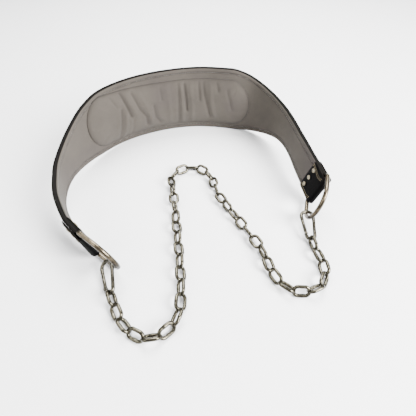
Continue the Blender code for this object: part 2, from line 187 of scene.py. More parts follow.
# Outer leather: a strap of thick black cowhide, broad at the back and narrow at its ends, cut
# flat, its edges rounded and dyed. Worn open, it has taken a bend round the waist.
# It is cut on a flat bench, with x along the belt, y up its width and z inwards, and then bent.
BACK_HEIGHT = 144 * MM
STRAP_WIDTH = 62 * MM
HALF_LENGTH = 429 * MM
ARM_DROOP = 0.58
BACK_PLACE = (-98 * MM, 260.5 * MM, 0)
# Place along half the length, heading and lean in degrees, and how nearly full its height is
COURSE = np.array([
    (-1.00, 139, 9, 0.00), (-0.90, 126, 0, 0.00), (-0.80, 103, -5, 0.00),
    (-0.70, 87, -1, 0.02), (-0.60, 78, 3, 0.23), (-0.50, 73, 4, 0.54),
    (-0.40, 61, 2, 0.79), (-0.20, 37, 0, 0.94), (0.00, 18, -1, 1.00),
    (0.20, -1, 1, 1.00), (0.30, -10, 1, 1.00), (0.40, -17, 2, 0.98),
    (0.50, -36, 4, 0.79), (0.60, -53, 4, 0.46), (0.70, -69, 5, 0.11),
    (0.80, -80, 6, 0.00), (0.90, -84, 10, 0.00), (1.00, -79, 13, 0.00),
])
COURSE_STEPS = 240
EASE_STEPS = 41
LEATHER_COLUMNS = 230
LEATHER_ROWS = 24
LEATHER_WALL = 7 * MM
LEATHER_TAIL = 31.6 * MM
LEATHER_EDGE = 1.6 * MM
LEATHER_RUB = 4 * MM
EDGE_SEGMENTS = 3
LEATHER_BLACK = (0.0014, 0.0013, 0.0014, 1)
LEATHER_WORN = (0.006, 0.0055, 0.005, 1)


def read_course(column, share):
    """A smooth curve through one column of the course table."""
    places, values = COURSE[:, 0], COURSE[:, column]
    slopes = np.empty(len(places))
    slopes[1:-1] = (values[2:] - values[:-2]) / (places[2:] - places[:-2])
    slopes[0] = (values[1] - values[0]) / (places[1] - places[0])
    slopes[-1] = (values[-1] - values[-2]) / (places[-1] - places[-2])
    low = np.clip(np.searchsorted(places, share) - 1, 0, len(places) - 2)
    gap = places[low + 1] - places[low]
    t = (share - places[low]) / gap
    return (
        (2 * t**3 - 3 * t**2 + 1) * values[low] + (t**3 - 2 * t**2 + t) * slopes[low] * gap
        + (3 * t**2 - 2 * t**3) * values[low + 1] + (t**3 - t**2) * slopes[low + 1] * gap
    )


def eased(values):
    """The same values with their corners rounded off, as a knife cuts leather."""
    window = np.hanning(EASE_STEPS)
    padded = np.pad(values, EASE_STEPS // 2, mode="edge")
    return np.convolve(padded, window / window.sum(), mode="valid")


course_shares = np.linspace(-1, 1, 2 * COURSE_STEPS + 1)
course_widths = eased(
    STRAP_WIDTH + np.clip(read_course(3, course_shares), 0, 1) * (BACK_HEIGHT - STRAP_WIDTH)
)


def width_at(x):
    """How wide the leather is cut at x on the bench."""
    return np.interp(x / HALF_LENGTH, course_shares, course_widths)


half_steps = (course_shares[1:] + course_shares[:-1]) / 2
edge_height = (
    (BACK_HEIGHT - width_at(course_shares * HALF_LENGTH)) / 2
    * (1 - ARM_DROOP * course_shares**2)
)
level_steps = np.sqrt((HALF_LENGTH / COURSE_STEPS) ** 2 - np.diff(edge_height) ** 2)
headings = eased(np.radians(read_course(1, half_steps)))
lower_edge = np.zeros((len(course_shares), 3))
lower_edge[1:, 0] = np.cumsum(level_steps * np.cos(headings))
lower_edge[1:, 1] = np.cumsum(level_steps * np.sin(headings))
lower_edge -= lower_edge[COURSE_STEPS]
lower_edge[:, 2] = edge_height
lower_edge += np.array(BACK_PLACE) + np.array(BELT_SHIFT)


def unit(vectors):
    return vectors / np.linalg.norm(vectors, axis=1)[:, None]


course_along = unit(np.gradient(lower_edge, axis=0))


def course_frame(x):
    """At x on the bench: the worn belt's lower edge, and the ways along, up and outwards."""
    inside = np.clip(x, -HALF_LENGTH, HALF_LENGTH)
    at = (inside / HALF_LENGTH + 1) * COURSE_STEPS
    low = np.minimum(np.floor(at).astype(int), 2 * COURSE_STEPS - 1)
    part = (at - low)[:, None]
    along = unit(course_along[low] * (1 - part) + course_along[low + 1] * part)
    foot = lower_edge[low] * (1 - part) + lower_edge[low + 1] * part
    foot = foot + along * (x - inside)[:, None]
    outward = unit(np.stack([-along[:, 1], along[:, 0], 0 * at], axis=1))
    upward = np.cross(along, outward)
    lean = np.radians(read_course(2, inside / HALF_LENGTH))[:, None]
    across = np.cos(lean) * upward + np.sin(lean) * outward
    return foot, along, across, np.cos(lean) * outward - np.sin(lean) * upward


def read_points(item):
    points = np.empty(len(item.data.vertices) * 3)
    item.data.vertices.foreach_get("co", points)
    return points.reshape(-1, 3)


def write_points(item, points):
    item.data.vertices.foreach_set("co", points.ravel())
    item.data.update()


def bend_to_waist(item):
    """Takes a piece from the bench to its place on the worn belt."""
    points = read_points(item)
    foot, along, across, outward = course_frame(points[:, 0])
    write_points(item, foot + across * points[:, 1:2] - outward * points[:, 2:3])


def apply_all(item):
    bpy.context.view_layer.objects.active = item
    for modifier in list(item.modifiers):
        bpy.ops.object.modifier_apply(modifier=modifier.name)


def thicken(item, thickness, offset):
    wall = item.modifiers.new("wall", "SOLIDIFY")
    wall.thickness = thickness
    wall.offset = offset
    return wall


def round_edges(item, width, angle):
    rounded = item.modifiers.new("rounded", "BEVEL")
    rounded.width = width
    rounded.segments = EDGE_SEGMENTS
    rounded.limit_method = "ANGLE"
    rounded.angle_limit = math.radians(angle)


def paint(item, name, levels):
    """Keeps a level from 0 to 1 at each point, for the piece's finish to read."""
    layer = item.data.attributes.new(name, "FLOAT", "POINT")
    layer.data.foreach_set("value", np.clip(levels, 0, 1).astype(np.float32))


def hand_over(item, finish, body="belt", nodes=()):
    """Finishes a piece: its material, its body and the solids that it replaces."""
    item.data.materials.clear()
    item.data.materials.append(finish.material)
    item.select_set(False)
    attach(item, body)
    if nodes:
        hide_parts(*nodes)


def black_leather(name):
    finish = Finish(name, {"Specular IOR Level": 0.07, "IOR": 1.2})
    pores = finish.node(
        "TexVoronoi", {}, {"Vector": finish.where(), "Scale": 620, "Randomness": 0.9}
    )
    creases = finish.noise(scale=55, detail=5, roughness=0.62)
    worn = finish.steps(finish.painted("edge") + creases * 0.5, [(0.62, 0), (1.1, 1)])
    colour = finish.mix(worn, LEATHER_BLACK, LEATHER_WORN)
    height = finish.steps(pores, [(0.05, 0), (0.55, 1)]) + creases * 0.9
    finish.surface(
        colour, creases * 0.24 + 0.34, height, strength=0.4, distance=0.0005
    )
    return finish


bpy.ops.mesh.primitive_grid_add(
    x_subdivisions=LEATHER_COLUMNS, y_subdivisions=LEATHER_ROWS, size=2
)
outer_leather = bpy.context.object
outer_leather.name = "outer_leather"
sheet = read_points(outer_leather)
sheet[:, 0] *= HALF_LENGTH + LEATHER_TAIL
sheet[:, 1] = (sheet[:, 1] + 1) / 2 * width_at(sheet[:, 0])
write_points(outer_leather, sheet)
thicken(outer_leather, LEATHER_WALL, -1)
round_edges(outer_leather, LEATHER_EDGE, 50)
apply_all(outer_leather)
sheet = read_points(outer_leather)
from_edge = np.minimum(sheet[:, 1], width_at(sheet[:, 0]) - sheet[:, 1])
paint(outer_leather, "edge", 1 - from_edge / LEATHER_RUB)
bend_to_waist(outer_leather)
bpy.ops.object.shade_smooth_by_angle(angle=math.radians(40))
hand_over(outer_leather, black_leather("black_cowhide"),
          nodes=["belt_leather"])


# Lining: one piece of light grey suede, glued and sewn to the inside of the leather a little in
# from its edge. The rows of stitches draw a shallow groove along both long edges.
LINING_SEAT = 0.3 * MM
LINING_WALL = 1.5 * MM
LINING_INSET = 1.2 * MM
LINING_END = 0.6 * MM
SEAM_IN = 8 * MM
SEAM_WIDTH = 1.5 * MM
SEAM_DEPTH = 0.7 * MM
HEM_ROLL = 0.5 * MM
HEM_DROP = 0.8 * MM
HEM_ROUND = 0.5 * MM
PUCKER_PITCH = 3.1 * MM
PUCKER_SPREAD = 3 * MM
PUCKER_RISE = 0.08 * MM
RIPPLE_ALONG = (37 * MM, 16 * MM)
RIPPLE_UP = (21 * MM, 45 * MM)
RIPPLE_RISE = 0.22 * MM
# How dark the painted shade is in the lining's seam groove and along its lower edge, and how far
# up from that edge it reaches
PAINTED_SHADE_STRENGTH = 0.8
PAINTED_SHADE_REACH = 2.2 * MM
AREA_SAMPLES = 400
# Rows of the mesh in from each edge, close together at the seam
HEM_ROWS = np.array([0, 0.5, 1.2, 2.2, 3.5, 5, 6, 6.8, 7.4, 8, 8.6, 9.2, 10, 11.2, 13]) * MM
MIDDLE_ROWS = 24
LINING_COLUMNS = 300
SUEDE_LIGHT = (0.066, 0.0575, 0.0485, 1)
SUEDE_SHADE = (0.043, 0.0378, 0.0325, 1)
SUEDE_TINT = (0.050, 0.040, 0.043, 1)
# Dark brown for the painted shade in the lining's and the pad's creases and edges; the grey thread
# also takes it as dirt
SUEDE_SHADOW_AND_DIRT = (0.012, 0.0098, 0.0094, 1)


def grey_suede(name):
    finish = Finish(name, {"Sheen Weight": 0.04, "Sheen Roughness": 0.6,
                           "Specular IOR Level": 0.08})
    patches = finish.steps(finish.noise(scale=16, detail=4, roughness=0.6), [(0.32, 0), (0.72, 1)])
    tint = finish.steps(finish.noise(scale=9, detail=2), [(0.5, 0), (0.75, 1)])
    nap = finish.noise(scale=1500, detail=3, roughness=0.7)
    brushed = finish.noise(scale=240, detail=4, roughness=0.65)
    colour = finish.mix(patches * 0.55, SUEDE_LIGHT, SUEDE_SHADE)
    colour = finish.mix(tint * 0.4, colour, SUEDE_TINT)
    colour = finish.mix(brushed * 0.25, colour, SUEDE_SHADE)
    # Painted shade: the colour goes towards dark brown wherever painted shade was left on the
    # piece
    colour = finish.mix(finish.painted("crease") * 0.75, colour, SUEDE_SHADOW_AND_DIRT)
    finish.surface(
        colour, brushed * 0.1 + 0.84, nap + brushed * 0.7, strength=0.35, distance=0.0005
    )
    return finish


suede_finish = grey_suede("light_grey_suede")

hem_count = len(HEM_ROWS)
row_count = 2 * hem_count + MIDDLE_ROWS
bpy.ops.mesh.primitive_grid_add(
    x_subdivisions=LINING_COLUMNS, y_subdivisions=row_count - 1, size=2
)
lining = bpy.context.object
lining.name = "suede_lining"
sheet = read_points(lining)
sheet[:, 0] *= HALF_LENGTH - LINING_END
widths = width_at(sheet[:, 0]) - 2 * LINING_INSET
rows_up = np.rint((sheet[:, 1] + 1) / 2 * (row_count - 1)).astype(int)
rows_down = row_count - 1 - rows_up
middle_share = (rows_up - hem_count + 1) / (MIDDLE_ROWS + 1)
height_up = np.select(
    [rows_up < hem_count, rows_down < hem_count],
    [HEM_ROWS[np.minimum(rows_up, hem_count - 1)],
     widths - HEM_ROWS[np.minimum(rows_down, hem_count - 1)]],
    HEM_ROWS[-1] + middle_share * (widths - 2 * HEM_ROWS[-1]),
)
sheet[:, 1] = LINING_INSET + height_up
hem = np.minimum(height_up, widths - height_up)
groove = np.exp(-((hem - SEAM_IN) / SEAM_WIDTH) ** 2)
roll = np.exp(-((hem - SEAM_IN / 2) / (SEAM_IN / 3)) ** 2)
pucker = np.sin(sheet[:, 0] / PUCKER_PITCH) * np.exp(-((hem - SEAM_IN) / PUCKER_SPREAD) ** 2)
ripple = np.sin(sheet[:, 0] / RIPPLE_ALONG[0] + sheet[:, 1] / RIPPLE_UP[0]) * np.sin(
    sheet[:, 0] / RIPPLE_ALONG[1] - sheet[:, 1] / RIPPLE_UP[1]
)
sheet[:, 2] = (
    LINING_SEAT + LINING_WALL + HEM_ROLL * roll - SEAM_DEPTH * groove
    + PUCKER_RISE * pucker + RIPPLE_RISE * ripple - HEM_DROP * np.exp(-hem / HEM_ROUND)
)
write_points(lining, sheet)
thicken(lining, LINING_WALL, -1)
apply_all(lining)
sheet = read_points(lining)
widths = width_at(sheet[:, 0])
hem = np.minimum(sheet[:, 1], widths - sheet[:, 1]) - LINING_INSET
# Painted shade in the stitched groove and along the lining's lower edge
groove = np.exp(-((hem - SEAM_IN) / SEAM_WIDTH) ** 2)
low_edge_shade = np.exp(-(sheet[:, 1] - LINING_INSET) / PAINTED_SHADE_REACH)
paint(lining, "crease", PAINTED_SHADE_STRENGTH * groove + PAINTED_SHADE_STRENGTH * low_edge_shade)
bend_to_waist(lining)
bpy.ops.object.shade_smooth_by_angle(angle=math.radians(60))
hand_over(lining, suede_finish, nodes=["lining"])
lining_x = np.linspace(-HALF_LENGTH, HALF_LENGTH, AREA_SAMPLES)
lining_area = float(np.mean(width_at(lining_x) - 2 * LINING_INSET) * 2 * HALF_LENGTH)


# Seams of the belt: grey waxed thread, one stitch every four millimetres or so, in the groove
# of the lining and again in black on the outside, where the same stitches come through.
STITCH_PITCH = 3.9 * MM
STITCH_LENGTH = 2.7 * MM
STITCH_WIDTH = 1.05 * MM
STITCH_SIDES = 6
STITCH_RINGS = 4
SEAM_END = 6 * MM
SEAM_SAMPLES = 500
THREAD_GREY = (0.150, 0.139, 0.124, 1)
THREAD_BLACK = (0.014, 0.014, 0.015, 1)


def waxed_thread(name, colour, dirt):
    finish = Finish(name, {"Specular IOR Level": 0.3})
    twist = finish.noise(scale=2600, detail=2)
    soil = finish.steps(finish.noise(scale=90, detail=3), [(0.35, 0), (0.8, 1)])
    finish.surface(
        finish.mix(soil, colour, dirt), twist * 0.2 + 0.5, twist,
        strength=0.5, distance=0.0002,
    )
    return finish


def model_stitch(length, width):
    """One stitch: a small ball drawn out along x."""
    bpy.ops.mesh.primitive_uv_sphere_add(
        segments=STITCH_SIDES, ring_count=STITCH_RINGS, radius=0.5,
        rotation=(0, math.pi / 2, 0),
    )
    stitch = bpy.context.object
    bpy.ops.object.transform_apply(location=False, rotation=True, scale=False)
    bpy.ops.object.mode_set(mode="EDIT")
    bpy.ops.mesh.select_all(action="SELECT")
    bpy.ops.transform.resize(value=(length, width, width))
    bpy.ops.object.mode_set(mode="OBJECT")
    return stitch


def sew(name, length, width, places):
    """Copies one stitch to each place: x, y, z and heading on the bench."""
    stitch = model_stitch(length, width)
    shape = read_points(stitch)
    faces = [list(face.vertices) for face in stitch.data.polygons]
    bpy.data.objects.remove(stitch)
    turn = places[:, 3]
    cos, sin = np.cos(turn)[:, None], np.sin(turn)[:, None]
    points = np.stack([
        shape[:, 0] * cos - shape[:, 1] * sin + places[:, 0:1],
        shape[:, 0] * sin + shape[:, 1] * cos + places[:, 1:2],
        np.broadcast_to(shape[:, 2], (len(places), len(shape))) + places[:, 2:3],
    ], axis=2).reshape(-1, 3)
    mesh = bpy.data.meshes.new(name)
    mesh.from_pydata(points.tolist(), [], [
        [corner + copy * len(shape) for corner in face]
        for copy in range(len(places)) for face in faces
    ])
    for face in mesh.polygons:
        face.use_smooth = True
    seam = bpy.data.objects.new(name, mesh)
    bpy.context.scene.collection.objects.link(seam)
    return seam


def along_line(line, pitch, height):
    """Places one pitch apart along a line of points on the bench."""
    line = np.asarray(line, float)
    runs = np.concatenate([[0], np.cumsum(np.linalg.norm(np.diff(line, axis=0), axis=1))])
    at = np.arange(pitch / 2, runs[-1], pitch)
    x = np.interp(at, runs, line[:, 0])
    y = np.interp(at, runs, line[:, 1])
    middle = (runs[1:] + runs[:-1]) / 2
    headings = np.arctan2(np.diff(line[:, 1]), np.diff(line[:, 0]))
    turn = np.interp(at, middle, headings)
    return np.stack([x, y, np.full_like(x, height), turn], axis=1)


seam_x = np.linspace(-HALF_LENGTH + SEAM_END, HALF_LENGTH - SEAM_END, SEAM_SAMPLES)
seam_low = np.stack([seam_x, np.full_like(seam_x, LINING_INSET + SEAM_IN)], axis=1)
seam_high = np.stack([seam_x, width_at(seam_x) - LINING_INSET - SEAM_IN], axis=1)
seam_front = LINING_SEAT + LINING_WALL - SEAM_DEPTH + STITCH_WIDTH / 4
seam_back = -LEATHER_WALL - STITCH_WIDTH / 10
for seam_name, seam_height, thread in (
    ("lining_stitches", seam_front, waxed_thread("grey_thread", THREAD_GREY, SUEDE_SHADOW_AND_DIRT)),
    ("back_stitches", seam_back, waxed_thread("black_thread", THREAD_BLACK, LEATHER_WORN)),
):
    seam = sew(seam_name, STITCH_LENGTH, STITCH_WIDTH, np.concatenate([
        along_line(seam_low, STITCH_PITCH, seam_height),
        along_line(seam_high, STITCH_PITCH, seam_height),
    ]))
    bend_to_waist(seam)
    hand_over(seam, thread)


# Lumbar pad: a long foam cushion with round ends, covered in the same suede and sewn down all
# round. The cover is cut full, so it gathers in upright folds across the middle of the back.
PAD_LENGTH = 415 * MM
PAD_HEIGHT = 108 * MM
PAD_MIDDLE = 68 * MM
PAD_BULGE = 11 * MM
PAD_BASE = 1.9 * MM
PAD_RIM = 30 * MM
CROWN_FLATNESS = 2.6
CROWN_FULLNESS = 0.72
PAD_SLACK = 0.8
PAD_CAP = 4 * MM
PAD_COLUMNS = 132
PAD_ROWS = 34
CLOTH_FRAMES = 20
PAD_PINNED = 0.5 * MM
PAD_SEWN = 0.05 * MM
PAD_JOINED = 0.02 * MM
COCKLE_PITCH = 5.3 * MM
COCKLE_BAND = 4 * MM
COCKLE_RISE = 0.25 * MM
# Painted shade: the suede is darkened along the deeper folds and in a band round the sewn rim
DEEP_FOLD = 3
FOLD_SHADE_HALF_WIDTH = 2.4
FOLD_SHADE_STRENGTH = 0.5
RIM_SHADE_STRENGTH = 0.6
RIM_SHADE_REACH = 2.6 * MM
# Folds, in millimetres: depth, half width, and the line that each follows down the pad. A
# negative depth is a ridge.
FOLDS = [
    (1.3, 4.5, [(-132, 112), (-122, 94)]),
    (3.4, 4.2, [(-106, 116), (-98, 88), (-91, 64)]),
    (-1.6, 5.0, [(-95, 112), (-86, 84), (-76, 62)]),
    (2.6, 4.6, [(-80, 110), (-68, 76), (-54, 54), (-52, 34)]),
    (-1.5, 5.5, [(-64, 108), (-52, 78), (-42, 50), (-40, 30)]),
    (2.0, 5.0, [(-32, 76), (-30, 48), (-20, 32)]),
    (2.4, 5.0, [(-112, 84), (-118, 50), (-124, 20)]),
    (-1.8, 4.6, [(-104, 70), (-108, 44), (-113, 20)]),
    (1.2, 4.5, [(-86, 56), (-88, 36), (-92, 20)]),
    (1.4, 4.5, [(-11, 110), (-11, 88)]),
    (-1.2, 6.0, [(4, 112), (6, 60), (6, 26)]),
    (1.4, 4.0, [(32, 114), (29, 70), (27, 22)]),
    (-1.6, 4.6, [(38, 114), (38, 60), (37, 24)]),
    (3.2, 3.6, [(46, 112), (47, 84), (48, 54)]),
    (-1.5, 5.0, [(60, 112), (62, 60), (60, 24)]),
    (2.0, 4.2, [(79, 114), (80, 78)]),
    (2.0, 4.2, [(89, 112), (92, 86), (98, 62), (104, 36)]),
    (-1.3, 5.0, [(106, 110), (108, 70), (116, 34)]),
    (1.7, 4.2, [(120, 114), (124, 98)]),
    (1.2, 5.5, [(146, 98), (153, 78), (160, 58)]),
]


def distance_to(points, line):
    """How far each point lies from a line of straight runs."""
    nearest = np.full(len(points), np.inf)
    for start, stop in zip(line, line[1:]):
        start, run = np.array(start), np.array(stop) - np.array(start)
        along = np.clip((points - start) @ run / (run @ run), 0, 1)
        nearest = np.minimum(
            nearest, np.linalg.norm(points - start - along[:, None] * run, axis=1)
        )
    return nearest


def fold_shape(points, line, half_width):
    """1 on a fold's line, and nothing a little way from it."""
    return np.exp(-(distance_to(points[:, :2] / MM, line) / half_width) ** 2)


def pad_edge_distance(points):
    """How far each point lies in from the pad's round-ended border."""
    beyond = np.maximum(0, np.abs(points[:, 0]) - (PAD_LENGTH - PAD_HEIGHT) / 2)
    return np.maximum(0, PAD_HEIGHT / 2 - np.hypot(beyond, points[:, 1] - PAD_MIDDLE))


def crown(inwards):
    """The cushion's rise, from 0 at its border to 1 on its top."""
    rise = np.minimum(1, inwards / PAD_RIM)
    return (1 - (1 - rise) ** CROWN_FLATNESS) ** CROWN_FULLNESS


bpy.ops.mesh.primitive_grid_add(x_subdivisions=PAD_COLUMNS, y_subdivisions=PAD_ROWS, size=2)
pad = bpy.context.object
pad.name = "lumbar_cushion"
sheet = read_points(pad)
half, radius = (PAD_LENGTH - PAD_HEIGHT) / 2, PAD_HEIGHT / 2
run = np.abs(sheet[:, 0]) * PAD_LENGTH / 2
cap = np.clip((run - half) / radius, 0, 1)
side = sheet[:, 1].copy()
sheet[:, 0] = np.sign(sheet[:, 0]) * np.where(
    run > half, half + radius * cap * np.sqrt(1 - side**2 / 2), run
)
sheet[:, 1] = PAD_MIDDLE + radius * side * np.sqrt(1 - cap**2 / 2)
fullness = PAD_SLACK
sheet[:, 2] = PAD_BASE + fullness * PAD_BULGE * crown(pad_edge_distance(sheet))
write_points(pad, sheet)

border = pad.vertex_groups.new(name="border")
held = np.flatnonzero(pad_edge_distance(sheet) < PAD_PINNED).tolist()
border.add(held, 1, "REPLACE")
cloth = pad.modifiers.new("cloth", "CLOTH")
cloth.settings.quality = 6
cloth.settings.mass = 0.3
cloth.settings.tension_stiffness = 12
cloth.settings.compression_stiffness = 12
cloth.settings.bending_stiffness = 0.6
cloth.settings.use_pressure = True
cloth.settings.uniform_pressure_force = 4
cloth.settings.vertex_group_mass = "border"
cloth.settings.effector_weights.gravity = 0
cloth.collision_settings.use_collision = False
cloth.point_cache.frame_start = 1
cloth.point_cache.frame_end = CLOTH_FRAMES
for number in range(1, CLOTH_FRAMES + 1):
    bpy.context.scene.frame_set(number)
swollen = pad.evaluated_get(bpy.context.evaluated_depsgraph_get()).to_mesh()
filled = np.empty(len(swollen.vertices) * 3)
swollen.vertices.foreach_get("co", filled)
filled = filled.reshape(-1, 3) - sheet
reach = np.linalg.norm(filled, axis=1)
filled *= (PAD_CAP / np.maximum(reach, PAD_CAP))[:, None]
pad.modifiers.remove(cloth)
write_points(pad, sheet + filled)
bpy.context.scene.frame_set(1)

finer = pad.modifiers.new("finer", "SUBSURF")
finer.levels = finer.render_levels = 1
apply_all(pad)
sheet = read_points(pad)
inwards = pad_edge_distance(sheet)
hold = crown(inwards)
folded = np.zeros(len(sheet))
for depth, half_width, line in FOLDS:
    folded += depth * MM * fold_shape(sheet, line, half_width)
rim_band = np.exp(-((inwards - COCKLE_BAND) / COCKLE_BAND) ** 2)
cockle = np.sin(sheet[:, 0] / COCKLE_PITCH) * rim_band
sheet[:, 2] += hold * (COCKLE_RISE * cockle - folded)
sheet[inwards < PAD_SEWN, 2] = PAD_BASE
write_points(pad, sheet)
bpy.ops.object.mode_set(mode="EDIT")
bpy.ops.mesh.select_all(action="SELECT")
bpy.ops.mesh.duplicate()
bpy.ops.transform.resize(value=(1, 1, 0), center_override=(0, 0, PAD_BASE))
bpy.ops.mesh.select_all(action="SELECT")
bpy.ops.mesh.remove_doubles(threshold=PAD_JOINED)
bpy.ops.mesh.normals_make_consistent(inside=False)
bpy.ops.object.mode_set(mode="OBJECT")
sheet = read_points(pad)
inwards = pad_edge_distance(sheet)
# Painted shade along the deeper folds, and a painted shadow round the pad's rim
fold_shade = sum(
    max(depth, 0) / DEEP_FOLD * fold_shape(sheet, line, FOLD_SHADE_HALF_WIDTH)
    for depth, _, line in FOLDS
)
rim_shade = RIM_SHADE_STRENGTH * np.exp(-inwards / RIM_SHADE_REACH)
paint(pad, "crease", FOLD_SHADE_STRENGTH * fold_shade * crown(inwards) + rim_shade)
bend_to_waist(pad)
bpy.ops.object.shade_smooth()
hand_over(pad, suede_finish, nodes=["lumbar_pad"])


# End loops: at each end a strip of thinner black leather is folded round the ring's bar, riveted
# through the strap, and sewn along both edges with two curved rows of thick cream thread.
LOOP_LENGTH = 49 * MM
LOOP_LEAF = 3 * MM
LOOP_GAP = 4.05 * MM
LOOP_FOLD = LOOP_LENGTH - LOOP_GAP - LOOP_LEAF
LOOP_EDGE = 0.8 * MM
LOOP_PRESSED = 34 * MM
LOOP_THINNED = 9 * MM
LOOP_SQUEEZE = 0.45 * MM
SQUEEZE_EASE = 3
LOOP_TAPER = 1.3 * MM
LOOP_RUB = 1.6 * MM
LOOP_END_RUB = 0.4 * MM
LOOP_CUTS = 10
LOOP_ROWS = 12
FOLD_STEPS = 14
NEAR = 0.01 * MM
CREAM_THREAD = (0.30, 0.25, 0.16, 1)
CREAM_SOILED = (0.12, 0.10, 0.065, 1)
CREAM_PITCH = 3.9 * MM
CREAM_LENGTH = 3.1 * MM
CREAM_WIDTH = 0.75 * MM
# The outer stitch row above and below, as places along the loop and up from its middle
TOP_ROW = np.array([(1.5, 26.5), (10, 26), (18, 24), (26, 22), (34, 22.6), (41, 25.5)]) * MM
LOW_ROW = np.array([(2.4, -27), (14, -27.9), (25, -28.6), (34, -27.8), (41, -25)]) * MM
ROW_APART = 3.4 * MM


def axes_at(origin, x_axis, y_axis):
    """Carries a piece from its own axes to its place on the belt."""
    matrix = Matrix((x_axis, y_axis, x_axis.cross(y_axis))).transposed().to_4x4()
    matrix.translation = origin
    return matrix


def end_matrix(side):
    """The loop's own axes: along the strap, away from the body, and across its width."""
    foot, along, across, outward = (
        Vector(rows[0]) for rows in course_frame(np.array([side * HALF_LENGTH]))
    )
    middle = foot + across * STRAP_WIDTH / 2 + outward * LEATHER_WALL / 2
    return axes_at(middle, along * side, outward)


def place(item, matrix):
    item.data.transform(matrix)
    item.data.update()


def select_edges(item, chosen):
    """Selects the edges whose two ends are both chosen, in edit mode."""
    bpy.ops.object.mode_set(mode="OBJECT")
    vertices = item.data.vertices
    for edge in item.data.edges:
        edge.select = all(chosen(vertices[corner].co) for corner in edge.vertices)
    bpy.ops.object.mode_set(mode="EDIT")


loop_finish = black_leather("black_loop_leather")
cream_finish = waxed_thread("cream_thread", CREAM_THREAD, CREAM_SOILED)
for end_name, side in (("left", -1), ("right", 1)):
    matrix = end_matrix(side)
    leaf_middle = LOOP_GAP + LOOP_LEAF / 2
    bpy.ops.mesh.primitive_grid_add(
        x_subdivisions=LOOP_CUTS, y_subdivisions=LOOP_ROWS, size=1,
        rotation=(math.pi / 2, 0, 0), location=(LOOP_FOLD / 2, leaf_middle, 0),
    )
    loop = bpy.context.object
    loop.name = f"{end_name}_end_loop"
    loop.scale = (LOOP_FOLD, STRAP_WIDTH, 1)
    bpy.ops.object.transform_apply(location=True, rotation=True, scale=True)
    bpy.ops.object.mode_set(mode="EDIT")
    bpy.ops.mesh.select_mode(type="EDGE")
    bpy.ops.mesh.select_all(action="DESELECT")
    select_edges(loop, lambda point: point.x > LOOP_FOLD - NEAR)
    bpy.ops.mesh.spin(
        steps=FOLD_STEPS, angle=math.pi, center=(LOOP_FOLD, 0, 0), axis=(0, 0, 1)
    )
    for _ in range(LOOP_CUTS):
        bpy.ops.mesh.extrude_region_move(
            TRANSFORM_OT_translate={"value": (-LOOP_FOLD / LOOP_CUTS, 0, 0)}
        )
    bpy.ops.mesh.select_all(action="SELECT")
    bpy.ops.mesh.remove_doubles(threshold=NEAR)
    bpy.ops.mesh.normals_make_consistent(inside=False)
    bpy.ops.object.mode_set(mode="OBJECT")
    thicken(loop, LOOP_LEAF, 0).use_even_offset = True
    round_edges(loop, LOOP_EDGE, 60)
    apply_all(loop)
    shape = read_points(loop)
    pressed = np.clip(1 - shape[:, 0] / LOOP_PRESSED, 0, 1) ** 2
    thinned = np.clip(1 - shape[:, 0] / LOOP_THINNED, 0, 1) ** 2
    proud = np.clip((np.abs(shape[:, 1]) - LOOP_GAP) / LOOP_LEAF, 0, 1)
    shape[:, 1] -= np.sign(shape[:, 1]) * (
        LOOP_SQUEEZE * np.minimum(1, SQUEEZE_EASE * pressed) + proud * LOOP_TAPER * thinned
    )
    write_points(loop, shape)
    from_edge = np.minimum(
        STRAP_WIDTH / 2 - np.abs(shape[:, 2]), shape[:, 0] + LOOP_END_RUB
    )
    paint(loop, "edge", 1 - from_edge / LOOP_RUB)
    place(loop, matrix)
    bpy.ops.object.shade_smooth_by_angle(angle=math.radians(40))
    hand_over(loop, loop_finish, nodes=[f"{end_name}_loop"])
    rows = []
    for row, inward in ((TOP_ROW, -ROW_APART), (LOW_ROW, ROW_APART)):
        for shift in (0, inward):
            line = row + np.array([0, shift])
            line[:, 1] *= side
            rows.append(along_line(line, CREAM_PITCH, LOOP_GAP + LOOP_LEAF))
    rows = np.concatenate(rows)
    for face_name, facing in (("outer", -1), ("inner", 1)):
        stitches = rows.copy()
        stitches[:, [1, 3]] *= facing
        seam = sew(f"{end_name}_{face_name}_stitches", CREAM_LENGTH, CREAM_WIDTH, stitches)
        place(seam, matrix @ Matrix.Rotation(facing * math.pi / 2, 4, "X"))
        hand_over(seam, cream_finish)


# Rivets: three solid brass-plated rivets through each loop and the strap between its leaves,
# each with a low domed head on both sides.
RIVET_HEAD = 8.5 * MM
RIVET_DOME = 1.4 * MM
RIVET_SHANK = 4 * MM
RIVET_PLACE = 11 * MM
RIVET_SPACING = 18 * MM
RIVET_SIDES = 32
HEAD_SINK = 0.2 * MM
HEAD_RIM = 0.9 * MM
HEAD_STRUCK = 0.3 * MM
DOME_ROUND = 0.8
DOME_SEGMENTS = 5
STRUCK_TAPER = 0.8
FACES_UP = 0.9
FLAT_TOP = 0.99
BRASS_BRIGHT = (0.24, 0.21, 0.15, 1)
BRASS_DULL = (0.10, 0.085, 0.06, 1)

brass = Finish("pale_brass", {"Metallic": 1})
rub = brass.steps(brass.noise(scale=420, detail=4, roughness=0.6), [(0.4, 0), (0.7, 1)])
brass.surface(
    brass.mix(rub, BRASS_BRIGHT, BRASS_DULL), rub * 0.2 + 0.3, rub,
    strength=0.15, distance=0.0002,
)

